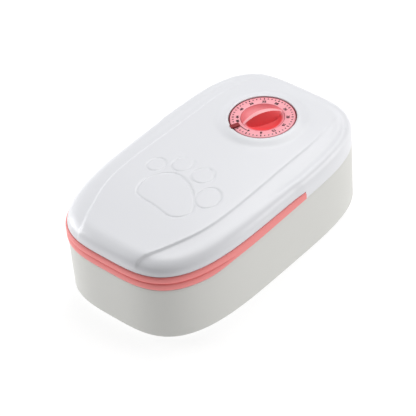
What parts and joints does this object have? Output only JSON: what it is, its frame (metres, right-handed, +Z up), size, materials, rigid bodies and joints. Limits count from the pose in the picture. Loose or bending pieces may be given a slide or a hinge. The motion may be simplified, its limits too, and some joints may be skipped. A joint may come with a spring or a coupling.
{
  "type": "automatic pet feeder",
  "caption": "Rounded oblong single meal pet feeder: lift-up lid with a turning dial timer, coral band on the food tray, base on rubber feet.",
  "frame": {"origin": "centre of the overall box on the surface the feet stand on", "axes": "+Z up, -Y to the front where the lid opens, +Y to the hinge, X across the width"},
  "size_m": [0.145, 0.2444, 0.0847],
  "materials": {
    "base_plastic": "satin moulded plastic, warm grey white",
    "foot_rubber": "matt rubber",
    "band_plastic": "satin moulded plastic, coral pink",
    "lid_plastic": "satin to gloss moulded plastic, cool white",
    "liner_plastic": "matt moulded plastic",
    "seal_rubber": "soft silicone",
    "marker_plastic": "satin moulded plastic, dark red",
    "dial_plastic": "satin moulded plastic, pale pink",
    "grip_plastic": "satin moulded plastic, coral red",
    "gear_plastic": "natural acetal",
    "latch_plastic": "natural acetal, grey",
    "steel": "bright steel",
    "board_laminate": "green laminate",
    "black_resin": "moulded resin",
    "copper": "enamelled copper wire",
    "battery_sleeve": "printed sleeve"
  },
  "bodies": {
    "base": {"base_shell": "base_plastic", "foot_front_left": "foot_rubber", "foot_front_right": "foot_rubber", "foot_rear_left": "foot_rubber", "foot_rear_right": "foot_rubber", "food_tray": "band_plastic", "latch_striker": "steel", "striker_screw_1": "steel", "striker_screw_2": "steel", "hinge_pin": "steel", "hinge_spring_right": "steel", "hinge_spring_left": "steel"},
    "lid": {"lid_shell": "lid_plastic", "lid_liner": "liner_plastic", "lid_seal": "seal_rubber", "pointer_marker": "marker_plastic", "dial_sleeve": "marker_plastic", "liner_screw_1": "steel", "liner_screw_2": "steel", "liner_screw_3": "steel", "liner_screw_4": "steel", "liner_screw_5": "steel", "liner_screw_6": "steel", "aa_battery": "battery_sleeve", "battery_contact_plus": "steel", "battery_contact_spring": "steel", "timer_plate": "liner_plastic", "timer_screw_1": "steel", "timer_screw_2": "steel", "timer_screw_3": "steel", "timer_screw_4": "steel", "wheel_arbor": "steel", "circuit_board": "board_laminate", "timer_chip": "black_resin", "quartz_crystal": "steel", "stator_plate": "steel", "coil_core": "steel", "motor_coil": "copper"},
    "dial": {"dial_ring": "dial_plastic", "dial_knob": "grip_plastic", "dial_shaft": "gear_plastic", "dial_gear": "gear_plastic", "release_cam": "gear_plastic"},
    "second_wheel": {"second_wheel": "gear_plastic"},
    "rotor": {"rotor": "gear_plastic"},
    "bolt": {"latch_bolt": "latch_plastic", "latch_spring": "steel"},
    "battery_door": {"battery_door": "liner_plastic"}
  },
  "joints": [
    {"name": "lid_hinge", "type": "hinge", "parent": "base", "child": "lid", "pos_m": [0, 0.11925, 0.0566], "axis": [-1, 0, 0], "range_deg": [0, 75]},
    {"name": "dial_turn", "type": "hinge", "parent": "lid", "child": "dial", "pos_m": [0, 0.06275, 0.0754], "axis": [0, 0, -1], "range_deg": [0, 330]},
    {"name": "second_wheel_spin", "type": "hinge", "parent": "lid", "child": "second_wheel", "pos_m": [-0.01973, 0.05557, 0.0654], "axis": [0, 0, -1], "continuous": true},
    {"name": "rotor_spin", "type": "hinge", "parent": "lid", "child": "rotor", "pos_m": [-0.02813, 0.07012, 0.0654], "axis": [0, 0, -1], "continuous": true},
    {"name": "latch_slide", "type": "slide", "parent": "lid", "child": "bolt", "axis": [0, -1, 0], "range_m": [0, 0.003], "stiffness_N_per_m": 60, "springref_m": -0.002},
    {"name": "battery_door_hinge", "type": "hinge", "parent": "lid", "child": "battery_door", "pos_m": [0, 0.09005, 0.05765], "axis": [-1, 0, 0], "range_deg": [0, 90]}
  ],
  "couplings": [
    {"joint": "second_wheel_spin", "follows": "dial_turn", "ratio": -4},
    {"joint": "rotor_spin", "follows": "dial_turn", "ratio": 12}
  ]
}
